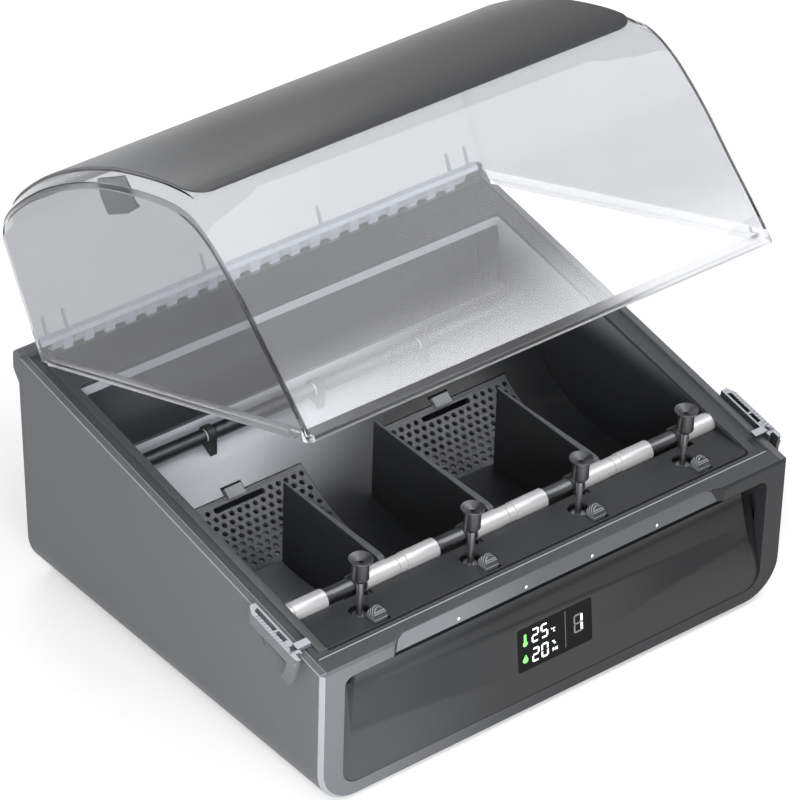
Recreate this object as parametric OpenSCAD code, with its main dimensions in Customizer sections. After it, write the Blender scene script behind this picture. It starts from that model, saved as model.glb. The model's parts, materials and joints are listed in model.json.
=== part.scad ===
// Four-bay filament storage box with a clear hinged hood.
// Y is measured from the front face inside the modules; place() centres the box on the origin.

/* [Housing] */
// Outside width of the housing
body_w = 365; // [355:1:380]
// Depth from the front face to the back of the rim
body_d = 304; // [300:1:312]
// Height of the front edge of the rim above the table
front_h = 102; // [100:0.5:106]
// Slope of the rim, rising to the rear
slope = 11.1; // [10.8:0.1:11.6]
// Radius of the two long bottom edges
edge_r = 28; // [20:1:32]
// Thickness of the side walls
wall = 5.2; // [4.6:0.1:5.6]
// Thickness of the housing floor
floor_t = 3.2; // [2.4:0.1:4]
// How far the rear leans back between floor and rim
rear_lean = 8; // [4:0.5:9]
// Thickness of the rear panel
rear_t = 3; // [2.4:0.1:4]
// How far the ridge behind the hinge stands out
ridge_out = 5; // [3:0.5:6]
// Height of the feet
foot_h = 2; // [1.6:0.1:2.6]
// Diameter of the feet
foot_d = 16; // [12:1:20]

/* [Front] */
// Width of the frame around the front panel
frame_w = 17; // [15:0.5:20]
// Height of the frame's top bar
bar_h = 16.5; // [16:0.5:19]
// Bevel along the outer edge of the front frame
frame_bevel = 2.4; // [1.5:0.1:3]
// Depth of the front frame behind its face
frame_t = 9; // [8:0.5:12]
// Recess of the front panel at its top
panel_tilt = 8; // [5:0.5:10]
// Thickness of the front panel
panel_t = 3; // [2.4:0.1:4]
// Height of the dark gap above the front panel
panel_gap = 8.4; // [7:0.2:9]
// Radius of the hollow at each end of the front panel
pocket_r = 20; // [19:0.5:21]
// Depth of the finger scoop at its top
scoop_d = 5.5; // [4.5:0.25:6]
// Height of the finger scoop
scoop_h = 15; // [13:0.5:15.5]
// Half length of the finger scoop
scoop_half = 119; // [110:1:125]
// Width of the display window
display_w = 58.5; // [50:0.5:64]
// Height of the display window
display_h = 30.5; // [27:0.5:34]
// Height of the display's centre above the table
display_z = 47.5; // [45:0.5:50]
// Pitch of the indicator lights
led_pitch = 51.8; // [48:0.2:55]
// Diameter of the indicator lights
led_d = 2.2; // [1.8:0.1:3]

/* [Rim and tub] */
// Width of the strip in front of the hood's rebate
front_land = 13.6; // [13:0.2:14.2]
// Depth of the rebate that takes the hood's edge
rebate_d = 1.5; // [1.2:0.1:1.8]
// Width of the rebate along the sides
rebate_w = 6; // [5.8:0.1:6.4]
// Width of the rebate along the front
rebate_front = 3.6; // [3.4:0.1:4.2]
// Width of the inner land beside the opening
inner_land = 5.6; // [5:0.1:6.5]
// Thickness of the rim frame
rim_t = 3; // [2.6:0.1:3.6]
// Width of the strip between the opening and the rear panel
rear_land = 37; // [35:0.5:39]
// Thickness of the tub's walls
tub_t = 2.4; // [2:0.1:3]
// Depth of the trough below the deck
trough_drop = 61; // [58:0.5:62]
// Distance that the trough reaches beyond the roller axes
trough_gap = 19.5; // [18.5:0.5:20.5]
// Height of the deck above the table
deck_z = 105; // [103:0.5:106]
// Thickness of the deck
deck_t = 2.5; // [2:0.1:3]
// Height of the dividers' top edge above the deck
divider_up = 1; // [0:0.25:3]
// Thickness of a divider at its front end
divider_t = 5; // [4.25:0.25:5.5]

/* [Rollers] */
// Pitch of the bays
bay_pitch = 84.5; // [84:0.1:85]
// Length of a front roller's long sleeve
sleeve_l = 24.1; // [20:0.1:26]
// Length of a front roller's short sleeve
sleeve_short = 19.1; // [16:0.1:20]
// Diameter of a front roller's sleeves
sleeve_d = 13; // [12:0.2:13.4]
// Diameter of a front roller's tube
tube_d = 10.8; // [10:0.2:11.2]
// Diameter of a rear roller
rear_d = 9.6; // [9:0.2:10.4]
// Diameter of the roller shafts
shaft_d = 4; // [3:0.1:4.6]
// Running clearance between a shaft and what turns on it
run_gap = 0.05; // [0.03:0.01:0.08]
// Distance from the front face to the front roller axis
roller_y = 56; // [55.5:0.1:56.5]
// Height of the front roller axis above the deck
roller_up = 1.4; // [1.2:0.1:2]
// Distance from the rear roller axis to the tub's rear wall
rear_inset = 23.7; // [22.5:0.1:24.5]
// Drop of the rear roller axis below the front one
rear_drop = 8.9; // [8:0.1:10]
// Teeth on a roller's gear
gear_teeth = 25; // [25:1:26]
// Teeth on a drive pinion
pinion_teeth = 16; // [14:2:18]
// Tooth module
gear_m = 0.5; // [0.46:0.01:0.52]
// Width of a roller's gear
gear_w = 8; // [7:0.5:8.5]

/* [Inlets] */
// Height of a funnel's top above the deck
funnel_up = 38; // [36:0.5:40]
// Diameter of a funnel's disc
funnel_d = 15; // [13:0.5:16]
// Diameter of an inlet tube
inlet_d = 4.2; // [3.8:0.1:4.6]
// Bore for the filament
filament_bore = 2.4; // [2:0.1:2.8]
// Distance from the front face to the inlet tubes
inlet_y = 36; // [35.5:0.1:37]
// Width of a release lever
lever_w = 9.5; // [8:0.5:11]
// Height of a release lever above the deck
lever_up = 6.5; // [5:0.5:8]

/* [Hood] */
// Clearance between the hood's sides and the housing
hood_gap = 0.2; // [0.1:0.1:0.6]
// Thickness of the hood
hood_t = 2.6; // [2.2:0.1:3]
// Width of the bevel between the hood's top and its sides
hood_bevel = 10; // [8:0.2:14]
// Rise of the crown over the bevel
hood_rise = 8; // [6:0.5:9]
// Scale of the hood's height
hood_scale = 1; // [0.96:0.01:1.02]
// Angle of the hood from closed, at rest
hood_open = 30; // [10:1:40]
// Thickness of the dark top panel
top_t = 1.2; // [1:0.1:1.6]
// Height of the hinge axis above the rim
hinge_up = 3.8; // [3.6:0.1:4.4]
// Distance from the hinge axis to the back of the rim
hinge_in = 6; // [5.5:0.25:7]
// Diameter of a hinge knuckle
knuckle_d = 6.4; // [6:0.1:7]
// Diameter of the hinge pin
pin_d = 2.4; // [2:0.1:3]
// Pitch of the knuckles
knuckle_pitch = 15.8; // [15:0.1:16.4]

/* [Catches and fittings] */
// Gap between a catch's bar and the housing
catch_off = 4.3; // [3.5:0.1:5]
// Length of a catch
catch_l = 50; // [44:1:54]
// Height of a catch's bar
catch_h = 8; // [7:0.5:9]
// Travel of a catch
catch_run = 5; // [4:0.5:6]
// Bore of the tube fittings
fitting_bore = 4.1; // [3.9:0.05:4.3]
// Pitch of the tube fittings
fitting_pitch = 20; // [18:1:24]
// Pitch of the holes in the drying covers
hole_pitch = 6.1; // [5.8:0.1:6.6]
// Diameter of the holes in the drying covers
hole_d = 3.6; // [3.2:0.1:4]
// Width of a drying cover
cover_w = 105; // [104:0.5:108]
// Gap above a drying cover
cover_gap = 0.7; // [0.5:0.1:1]
// Width of the clip on a drying cover
clip_w = 13; // [11:0.5:15]
// Length of the slot under the clip
slot_l = 39.5; // [36:0.5:40]

/* [Hidden] */
$fn = 64;

plastic = [0.20, 0.21, 0.22];
dark = [0.10, 0.10, 0.11];
pale = [0.93, 0.93, 0.92];
steel = [0.72, 0.73, 0.74];
clear = [0.80, 0.85, 0.88, 0.4];
green = [0.10, 0.45, 0.25];

seam = 0.3;
touch = 0.02;
big = 600;
half = body_w / 2;
inner_half = half - wall;
rim_half = inner_half - seam;
open_half = rim_half - rebate_w - inner_land;
rim_start = frame_bevel + 0.4;
scoop_start = scoop_d + 0.4;
scoop_end = scoop_half + 10;
open_front = front_land + rebate_front;
rim_rear = body_d - rear_t - touch;
rim_back = rim_rear - 0.3;
open_rear = rim_rear / cos(slope) - rear_land;
opening_l = open_rear - open_front;
hood_half = rim_half - hood_gap;
top_z = front_h + body_d * tan(slope);
hinge_y = body_d - hinge_in;
hinge_z = front_h + hinge_y * tan(slope) + hinge_up;

panel_low = foot_h + 11;
panel_high = front_h - bar_h - seam;
panel_angle = atan(panel_tilt / (panel_high - panel_low));
panel_half = half - frame_w - seam;
pocket_low = 18;
pocket_lean = 8.2;

tub_front = open_front * cos(slope);
tub_rear = open_rear * cos(slope);
roller_z = deck_z + roller_up;
rear_y = tub_rear - rear_inset;
rear_z = roller_z - rear_drop;
trough_y = (roller_y + rear_y - 1) / 2;
trough_r = (rear_y - roller_y) / 2 + trough_gap;
trough_z = deck_z - trough_drop + trough_r;
knee_y = 62;
knee_z = trough_z - sqrt(trough_r * trough_r - knee_y * knee_y) + 1.25;
deck_front = tub_front + rim_t * sin(slope) + 2 * seam;
deck_rear = roller_y - 7;
end_gap = 2.3;
mid_gap = 5.9;
function roller_low(i) = i == 1 ? end_gap - open_half : (i - 3) * bay_pitch + mid_gap;
function roller_high(i) = i == 4 ? open_half - end_gap : (i - 2) * bay_pitch - mid_gap;
bays = [for (i = [1 : 4]) (roller_low(i) + roller_high(i)) / 2];

gear_gap = 0.75;
function gear_at(i) = roller_high(i) - sleeve_short - gear_gap - gear_w / 2;
gear_r = gear_teeth * gear_m / 2;
pinion_r = pinion_teeth * gear_m / 2;
mesh_angle = 62;
mesh_l = gear_r + pinion_r + 0.12;
pinion_y = roller_y - mesh_l * cos(mesh_angle);
pinion_z = roller_z - mesh_l * sin(mesh_angle);
case_top = deck_z - 5;

lever_y = 25.8;
lever_z = deck_z - 8;
board_w = 120;
board_d = 36;
foot_s = 35;

side_curve = [
    [-8, -12], [-8, 10], [-8.6, 68], [-11, 77], [-16, 83], [-25, 88], [-38, 92.4],
    [-55, 96.6], [-74, 99.8], [-96, 101.6], [-122, 101.8], [-148, 99.8], [-172, 95.6],
    [-195, 90.2], [-211, 85.2], [-224, 79.4], [-234, 71.4], [-243, 59.6], [-251, 43],
    [-259, 22], [-267, -5], [-276, -33], [-283, -58], [-283.5, -66],
];
crown_range = [4, 15];
hood_back = 8;
hood_front = -side_curve[len(side_curve) - 1][0];
hood_k = (hinge_y - front_land - 3 * seam - hood_back) / (hood_front - hood_back);
crown_front = hood_x(side_curve[crown_range[1]][0]) - 3;

function rim_z(y) = front_h + y * tan(slope);
function wall_y(z) = body_d - rear_lean * (top_z - z) / (top_z - foot_h);
function rad(a) = [cos(a), sin(a)];
function pull(p, t) = p + t * ([-140, -25] - p) / norm([-140, -25] - p);
function hood_x(x) = (x + hood_back) * hood_k - hood_back;
function side_points(t) = [for (p = side_curve) pull([hood_x(p[0]), p[1] * hood_scale], t)];
function crown_x(i) = i == crown_range[1] ? crown_front : hood_x(side_curve[i][0]);
function crown_points(t) = [
    for (i = [crown_range[0] : crown_range[1]])
        pull([crown_x(i), side_curve[i][1] * hood_scale + hood_rise], t)
];

module place() translate([0, -body_d / 2, 0]) children();
module along_x(x0, x1) translate([x0, 0, 0]) rotate([90, 0, 90]) linear_extrude(x1 - x0) children();
module along_y(y0, y1) translate([0, y1, 0]) rotate([90, 0, 0]) linear_extrude(y1 - y0) children();
module on_slope() translate([0, 0, front_h]) rotate([slope, 0, 0]) children();
module above_slope(n) on_slope() translate([-big / 2, -100, n]) cube([big, big, 250]);
module on_panel() translate([0, seam, panel_low]) rotate([-panel_angle, 0, 0]) children();
module at_hinge() translate([0, hinge_y, hinge_z]) rotate([-hood_open, 0, 0]) children();
module rod_x(x0, x1, d) translate([x0, 0, 0]) rotate([0, 90, 0]) cylinder(d = d, h = x1 - x0);
module both() for (s = [-1, 1]) scale([s, 1, 1]) children();

// A rectangle on the X axis whose two lower corners are round
module trough_outline(w, h, r) {
    translate([-w / 2, r]) square([w, h - r]);
    translate([r - w / 2, 0]) square([w - 2 * r, r + 1]);
    for (s = [-1, 1]) translate([s * (w / 2 - r), r]) circle(r);
}

// A rectangle with four round corners, centred
module rounded(w, h, r) {
    square([w - 2 * r, h], center = true);
    square([w, h - 2 * r], center = true);
    for (x = [-1, 1], y = [-1, 1]) translate([x * (w / 2 - r), y * (h / 2 - r)]) circle(r);
}

// ---- Housing ----

module shell_section() {
    difference() {
        trough_outline(body_w, 200, edge_r);
        translate([0, floor_t]) trough_outline(body_w - 2 * wall, 200, edge_r - wall);
    }
}

module catch_slot() {
    on_slope() both()
        translate([half - wall - 1, foot_s - 0.5, -7]) cube([wall + 2, 7 + catch_run, 4]);
}

module housing_shell() color(plastic) difference() {
    intersection() {
        along_y(frame_bevel, body_d) translate([0, foot_h]) shell_section();
        along_x(-half, half) polygon([
            [frame_bevel, foot_h],
            [wall_y(foot_h) - rear_t, foot_h],
            [body_d - rear_t, rim_z(body_d - rear_t)],
            [frame_bevel, rim_z(frame_bevel)],
        ]);
    }
    catch_slot();
}

module rear_section() {
    polygon([
        [wall_y(foot_h) - rear_t, foot_h],
        [wall_y(foot_h), foot_h],
        [wall_y(142), 142],
        [body_d + ridge_out - 1.2, 148.5],
        [body_d + ridge_out, 151],
        [body_d + ridge_out, top_z + 0.2],
        [body_d + ridge_out - 2, top_z + 2.6],
        [body_d + ridge_out - 5, top_z + 3.4],
        [body_d - 1.6, top_z + 2.8],
        [body_d - 2, top_z + 1.8],
        [body_d - 2, rim_z(body_d - 2)],
        [body_d - rear_t, rim_z(body_d - rear_t)],
    ]);
}

module rear_panel() color(plastic) difference() {
    intersection() {
        along_y(200, body_d + 20) translate([0, foot_h]) trough_outline(body_w, 200, edge_r);
        along_x(-half, half) rear_section();
    }
    for (i = [0 : 3])
        translate([fitting_x(i), body_d - 30, fitting_z]) rotate([-90, 0, 0]) cylinder(d = 10.2, h = 60);
    for (i = [0, 1])
        translate([port_x(i) - 6.1, body_d - 30, port_z - 4.1]) cube([12.2, 60, 8.2]);
    for (x = [-1, 1] * screw_x, z = screw_z)
        translate([x, body_d - 30, z]) rotate([-90, 0, 0]) cylinder(d = 3.2, h = 60);
}

fitting_z = 60;
port_z = 40;
screw_x = half - 32.5;
screw_z = [30, 130];
function fitting_x(i) = half - 72.5 + (i - 1.5) * fitting_pitch;
function port_x(i) = 72.5 - half + i * 22;

// The outer block of the front, bevelled all round
module front_block() {
    top = front_h + 10;
    for (s = [-1, 1])
        translate([s * (half - edge_r), 0, foot_h + edge_r]) rotate([-90, 0, 0])
            cylinder(r1 = edge_r - frame_bevel, r2 = edge_r, h = frame_bevel);
    translate([0, 0, foot_h + edge_r]) linear_extrude(top - edge_r) polygon([
        [frame_bevel - half, 0], [half - frame_bevel, 0], [half, frame_bevel], [-half, frame_bevel],
    ]);
    along_x(edge_r - half, half - edge_r) polygon([
        [0, foot_h + frame_bevel], [frame_bevel, foot_h],
        [frame_bevel, foot_h + edge_r + 1], [0, foot_h + edge_r + 1],
    ]);
}

module scoop() {
    top = front_h + 8;
    run = scoop_d * (scoop_h + 8) / (scoop_h + 1);
    intersection() {
        along_x(-scoop_end, scoop_end) polygon([
            [-1, front_h - scoop_h], [0, front_h - scoop_h], [run, top], [-1, top],
        ]);
        translate([0, 0, front_h - scoop_h - 1]) linear_extrude(40) polygon([
            [-scoop_end, 0.01], [-scoop_half, scoop_d + 2], [scoop_half, scoop_d + 2],
            [scoop_end, 0.01], [scoop_end, -1], [-scoop_end, -1],
        ]);
    }
}

module scoop_plan(gap) {
    polygon([
        [gap - scoop_end, -1], [gap - scoop_end, rim_start - gap],
        [gap - scoop_half, scoop_start - gap], [scoop_half - gap, scoop_start - gap],
        [scoop_end - gap, rim_start - gap], [scoop_end - gap, -1],
    ]);
}

module front_opening(grow, above = 0) {
    w = body_w - 2 * frame_w + 2 * grow;
    h = panel_high - panel_low + seam + 2 * grow + above;
    translate([0, panel_low - grow]) intersection() {
        trough_outline(w, h, 12);
        translate([0, h / 2]) rounded(w, h, 6);
    }
}

module front_frame() color(plastic) difference() {
    union() {
        front_block();
        along_y(0.5, frame_t) translate([0, foot_h + floor_t + touch])
            trough_outline(body_w - 2 * wall - 2 * seam, 200, edge_r - wall);
    }
    along_y(-1, frame_t + 1) front_opening(0, panel_gap);
    above_slope(0);
    on_slope() difference() {
        translate([-big / 2, rim_start, -rim_t - touch]) cube([big, 50, 60]);
        translate([0, 0, -10]) linear_extrude(60) scoop_plan(seam);
    }
    scoop();
    for (i = [-1.5 : 1.5])
        translate([i * led_pitch, -1, front_h - 6.2]) rotate([-90, 0, 0]) cylinder(d = led_d + 0.1, h = 20);
}

// A leaning round cut that deepens towards the panel's top
module pocket() translate([panel_half + 2.5, -pocket_r, pocket_low]) rotate([-pocket_lean, 0, 0])
    translate([0, 0, -10]) cylinder(r = pocket_r, h = 120);

// Closes the dark gap above the panel, behind the front frame
module panel_backing() {
    w = 2 * panel_half + 2;
    translate([-w / 2, frame_t + seam, panel_high - 5]) cube([w, 2, panel_gap + 7]);
}

module panel_plate() difference() {
    intersection() {
        along_y(-1, 30) front_opening(-seam);
        on_panel() union() {
            translate([-half, 0, -1]) cube([body_w, panel_t, 120]);
            both() translate([panel_half - 20, 0, pocket_low - 4]) cube([20, 11, 120]);
        }
    }
    on_panel() both() pocket();
    on_panel() translate([0, -1, display_z - panel_low]) rotate([-90, 0, 0])
        linear_extrude(1 + 1.2 + touch) rounded(display_w + 0.2, display_h + 0.2, 2.2);
    on_panel() translate([0, 0, display_z - panel_low]) rotate([-90, 0, 0])
        linear_extrude(20) square([display_w - 4, display_h - 4], center = true);
}

module front_panel() color(plastic) {
    panel_plate();
    panel_backing();
}

module display_window() color(dark) on_panel()
    translate([0, touch, display_z - panel_low]) rotate([-90, 0, 0])
        linear_extrude(1.2 - touch) rounded(display_w, display_h, 2);

module display_board() color(green) on_panel()
    translate([0, panel_t + touch, display_z - panel_low]) rotate([-90, 0, 0])
        linear_extrude(1.6) square([display_w + 14, display_h + 10], center = true);

module led_lenses() color([0.8, 0.95, 0.85]) for (i = [-1.5 : 1.5])
    translate([i * led_pitch, 3.4, front_h - 6.2]) rotate([-90, 0, 0]) cylinder(d = led_d, h = 5);

// ---- Rim and tub ----

knuckle_l = knuckle_pitch / 2 - 0.4;
knuckles = floor((hood_half - 8) / knuckle_pitch);
knuckle_r = knuckle_d / 2;

module rim_plan() {
    difference() {
        translate([-rim_half, rim_start]) square([2 * rim_half, rim_rear / cos(slope) - rim_start]);
        scoop_plan(0);
        translate([0, (open_front + open_rear) / 2])
            rounded(2 * open_half, opening_l, 3);
    }
}

module rim_frame() color(plastic) difference() {
    union() {
        difference() {
            on_slope() translate([0, 0, -rim_t]) linear_extrude(rim_t) rim_plan();
            translate([-big / 2, rim_back, 0]) cube([big, 20, 300]);
        }
        for (k = [-knuckles : knuckles - 1])
            translate([(k + 0.5) * knuckle_pitch - knuckle_l / 2, hinge_y, hinge_z]) {
                rod_x(0, knuckle_l, knuckle_d);
                along_x(0, knuckle_l) polygon([
                    [-knuckle_r, 0], [-knuckle_r, -5], [0, -5],
                    [rim_back - hinge_y, -4], [rim_back - hinge_y, 0],
                ]);
            }
    }
    on_slope() both()
        translate([rim_half - rebate_w, front_land, -rebate_d]) cube([20, big, 10]);
    on_slope() translate([-rim_half, front_land, -rebate_d]) cube([2 * rim_half, rebate_front + 1, 10]);
    translate([0, hinge_y, hinge_z]) rod_x(-half, half, pin_d + 2 * run_gap);
}

// The inside of the tub, seen along X
module tub_space(grow) {
    intersection() {
        translate([trough_y, trough_z]) circle(trough_r + grow, $fn = 96);
        translate([0, -50]) square([300, deck_z - deck_t + 50.01]);
    }
    polygon([
        [trough_y + knee_y, knee_z - grow], [rear_y - 7, rear_z - 13 - 1.2 * grow],
        [rear_y + 9 + grow, rear_z - 5 - grow], [rear_y + 10.5 + grow, rear_z + 4],
        [tub_rear + grow, rim_z(tub_rear)], [tub_rear + grow, 300], [trough_y + knee_y, 300],
    ]);
    translate([tub_front - grow, deck_z - deck_t]) square([tub_rear - tub_front, 200]);
}

module tub_outline() {
    tub_space(tub_t);
    translate([tub_front - tub_t, deck_z - deck_t - 3]) square([40, 20]);
}

module tub_hollow() {
    tub_space(0);
    translate([tub_front + 3, deck_z - 40]) square([deck_rear - tub_front - 5.4, 60]);
}

module tub() color(plastic) difference() {
    along_x(-open_half - tub_t, open_half + tub_t) tub_outline();
    along_x(-open_half, open_half) tub_hollow();
    above_slope(-rim_t - touch);
    for (s = [-1, 1]) cover_place(s) cover_window();
    for (i = [1 : 4]) translate([gear_at(i) - 6, deck_rear - 9, pinion_z - 8]) cube([12, 15, 20]);
    for (y = [roller_y, rear_y])
        translate([0, y, y == roller_y ? roller_z : rear_z]) rod_x(-half, half, shaft_d + touch * 2);
}

// The deck's front corners are rounder than those of the opening above them
module deck_plan() {
    w = open_half - touch;
    translate([0, deck_front]) trough_outline(2 * w, deck_rear - deck_front, 4);
}

module deck() color(dark) difference() {
    translate([0, 0, deck_z - deck_t + touch]) linear_extrude(deck_t - touch) deck_plan();
    for (x = bays) {
        translate([x, inlet_y, deck_z - 5]) cylinder(d = 13.5, h = 10);
        translate([x - 1, lever_y - 6.6, deck_z - 5]) cube([lever_w + 2, 13.6, 10]);
    }
    for (i = [1 : 4])
        translate([gear_at(i) - gear_w / 2 - 1, deck_rear - 4, deck_z - 5]) cube([gear_w + 2, 10, 10]);
}

// ---- Dividers ----

module divider_side(rear) {
    front = roller_y + 10;
    top = deck_z + divider_up;
    difference() {
        union() {
            translate([front + 6, 20]) square([rear - front - 6, top - 20]);
            translate([front, 20]) square([20, top - 26]);
            translate([front + 6, top - 6]) circle(6);
        }
        difference() {
            translate([0, -100]) square([400, 300]);
            translate([trough_y, trough_z]) circle(trough_r - touch, $fn = 96);
        }
    }
}

module divider_plan(x, rear) {
    polygon([
        [x - divider_t / 2, roller_y], [x + divider_t / 2, roller_y], [x + divider_t / 2, roller_y + 24],
        [x + 0.8, rear], [x - 0.8, rear], [x - divider_t / 2, roller_y + 24],
    ]);
}

module divider(x, rear) intersection() {
    along_x(x - 10, x + 10) divider_side(rear);
    linear_extrude(200) divider_plan(x, rear);
}

module divider_left() color(dark) divider(-bay_pitch, trough_y + 16);
module divider_centre() color(dark) divider(0, trough_y + 34);
module divider_right() color(dark) divider(bay_pitch, trough_y + 16);

// ---- Drying compartments ----

cover_low = 9;
cover_high = 37.5;

cover_x = open_half / 2;
bead_r = trough_r + tub_t / 2;
bead_at = cover_low + (tub_t / 2 + seam) / bead_r * 180 / PI;
row_at = cover_high - 3.4;
row_step = 2.75;
rows = 9;

module cover_place(s) translate([s * cover_x, trough_y, trough_z]) children();

// A curved plate between two angles measured from straight down
module curved_plate(r0, r1, a0, a1, w) {
    far = r1 * 1.4;
    along_x(-w / 2, w / 2) intersection() {
        difference() {
            circle(r1, $fn = 96);
            circle(r0, $fn = 96);
        }
        polygon([[0, 0], far * rad(a0 - 90), far * rad((a0 + a1) / 2 - 90), far * rad(a1 - 90)]);
    }
}

module cover_window() {
    curved_plate(trough_r - 3, trough_r + tub_t + 3, cover_low, cover_high, cover_w);
    curved_plate(trough_r - 3, trough_r + tub_t + 3, cover_high - 1, cover_high + 2.8, clip_w + 3);
}

// The holes of one row, whose middle ones give way to the slot
module cover_row(j) rotate([row_at - j * row_step, 0, 0])
    for (i = [-8 : 8 - j % 2]) {
        x = (i + (j % 2) / 2) * hole_pitch;
        if (j > 0 || abs(x) > slot_l / 2 + hole_d / 2)
            translate([x, 0, -trough_r - 5]) cylinder(d = hole_d, h = 10, $fn = 16);
    }

module cover() difference() {
    union() {
        curved_plate(
            trough_r + touch, trough_r + tub_t - touch, bead_at,
            cover_high - cover_gap / trough_r * 180 / PI, cover_w - 2 * seam
        );
        rotate([bead_at, 0, 0]) translate([0, 0, -bead_r])
            rod_x(seam - cover_w / 2, cover_w / 2 - seam, tub_t - 2 * touch);
        curved_plate(
            trough_r - 2, trough_r + tub_t - touch, cover_high - 1.8, cover_high + 1.9, clip_w
        );
    }
    for (j = [0 : rows - 1]) cover_row(j);
    rotate([row_at, 0, 0]) translate([0, 0, -trough_r - 5]) linear_extrude(10)
        rounded(slot_l, 4, 1.99);
}

module cover_left() color(plastic) cover_place(-1) cover();
module cover_right() color(plastic) cover_place(1) cover();

module desiccant_packs() color(pale) for (s = [-1, 1])
    translate([s * cover_x - cover_w / 2 + 4, trough_y + 10, foot_h + floor_t + touch])
        cube([cover_w - 8, 46, 33]);

// ---- Rollers ----

module front_shaft() color(steel) translate([0, roller_y, roller_z])
    rod_x(-open_half - tub_t, open_half + tub_t, shaft_d);

module tube_x(x0, x1, d, bore) difference() {
    rod_x(x0, x1, d);
    rod_x(x0 - 1, x1 + 1, bore);
}

module on_front() translate([0, roller_y, roller_z]) children();

module roller_tube(i) color(steel) on_front()
    tube_x(roller_low(i), roller_high(i), tube_d, shaft_d + 2 * run_gap);

module teeth(n, r) {
    circle(r - gear_m);
    for (k = [0 : n - 1]) rotate(k * 360 / n)
        polygon([
            [r - gear_m - 0.2, -gear_m * 0.72], [r + gear_m * 0.85, -gear_m * 0.3],
            [r + gear_m * 0.85, gear_m * 0.3], [r - gear_m - 0.2, gear_m * 0.72],
        ]);
}

module roller_gear(i) color(dark) on_front() difference() {
    translate([gear_at(i), 0, 0]) along_x(-gear_w / 2, gear_w / 2)
        rotate(180 + mesh_angle) teeth(gear_teeth, gear_r);
    rod_x(-half, half, tube_d + 0.1);
}

module roller_sleeves(i) color(pale) on_front() {
    tube_x(roller_low(i), roller_low(i) + sleeve_l, sleeve_d, tube_d + 0.1);
    tube_x(roller_high(i) - sleeve_short, roller_high(i), sleeve_d, tube_d + 0.1);
}

module separators() color(pale) {
    for (x = [-1, 0, 1] * bay_pitch, s = [-1, 1])
        translate([x + s * 2.95, roller_y, roller_z]) tube_x(-2.8, 2.8, sleeve_d - 0.8, shaft_d + 2 * touch);
    both() translate([open_half, roller_y, roller_z]) tube_x(-2.1, -touch, sleeve_d - 0.8, shaft_d + 2 * touch);
}

module rear_shaft() color(steel) translate([0, rear_y, rear_z])
    rod_x(-open_half - tub_t, open_half + tub_t, shaft_d);

module rear_roller(i) color(steel) translate([0, rear_y, rear_z]) tube_x(
    i == 1 ? -open_half + 0.3 : (i - 3) * bay_pitch + 3.8,
    i == 4 ? open_half - 0.3 : (i - 2) * bay_pitch - 3.8,
    rear_d, shaft_d + 2 * run_gap
);

module bracket_side() {
    difference() {
        union() {
            translate([rear_y, rear_z]) circle(6.2);
            translate([rear_y - 6.2, rear_z - 40]) square([12.4, 40]);
        }
        translate([rear_y, rear_z]) circle(4.2);
        polygon([
            [0, knee_z], [trough_y + knee_y, knee_z], [rear_y - 7, rear_z - 13 + touch],
            [rear_y + 9, rear_z - 5 + touch], [rear_y + 30, 0], [0, 0],
        ]);
    }
}

module rear_brackets() color(dark) for (x = [-1, 0, 1] * bay_pitch) along_x(x - 2.5, x + 2.5) bracket_side();

module rear_bushes() color(pale) for (x = [-1, 0, 1] * bay_pitch)
    translate([x, rear_y, rear_z]) tube_x(-3.2, 3.2, 8.4 - 2 * touch, shaft_d + 2 * touch);

// ---- Inlets and feeders ----

module inlet_funnels() color(steel) for (x = bays)
    translate([x, inlet_y, deck_z + funnel_up]) rotate_extrude() polygon([
        [inlet_d / 2 + touch, -17], [3.2, -17], [5.3, -14.5], [5.3, -2.2], [funnel_d / 2, -1],
        [funnel_d / 2, 0], [filament_bore / 2, -2.6], [filament_bore / 2, -4], [inlet_d / 2 + touch, -4],
    ]);

module inlet_tubes() color(steel) for (x = bays)
    translate([x, inlet_y, case_top + touch]) difference() {
        union() {
            cylinder(d = inlet_d, h = deck_z + funnel_up - 4.1 - case_top);
            cylinder(d = 9, h = 1.5);
        }
        translate([0, 0, -1]) cylinder(d = filament_bore, h = 80);
    }

// The lever's flap, seen from the front
module lever_face() {
    translate([lever_w / 2, lever_up + 8 - lever_w / 2]) circle(lever_w / 2);
    translate([0, -4]) square([lever_w, lever_up + 12 - lever_w / 2]);
}

module release_lever(i) color(dark) translate([bays[i - 1], lever_y, lever_z]) difference() {
    intersection() {
        union() {
            along_x(0, lever_w) polygon([[-3, 0], [3, 0], [3.4, 11], [1.6, 15], [-1.4, 15], [-4.6, 9]]);
            rod_x(0, lever_w, 6);
        }
        along_y(-8, 8) lever_face();
    }
    rod_x(-1, lever_w + 1, 2 + 2 * run_gap);
    for (k = [0 : 5])
        translate([-1, -4.8 + k * 0.62, 8.6 + k]) rotate([32, 0, 0]) cube([lever_w + 2, 0.6, 0.6]);
}

module drive_pinion(i) color(dark) translate([gear_at(i), pinion_y, pinion_z]) difference() {
    along_x(1 - gear_w / 2, gear_w / 2 - 1)
        rotate(mesh_angle + 180 / pinion_teeth) teeth(pinion_teeth, pinion_r);
    rod_x(-10, 10, 2 + 2 * run_gap);
}

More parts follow.
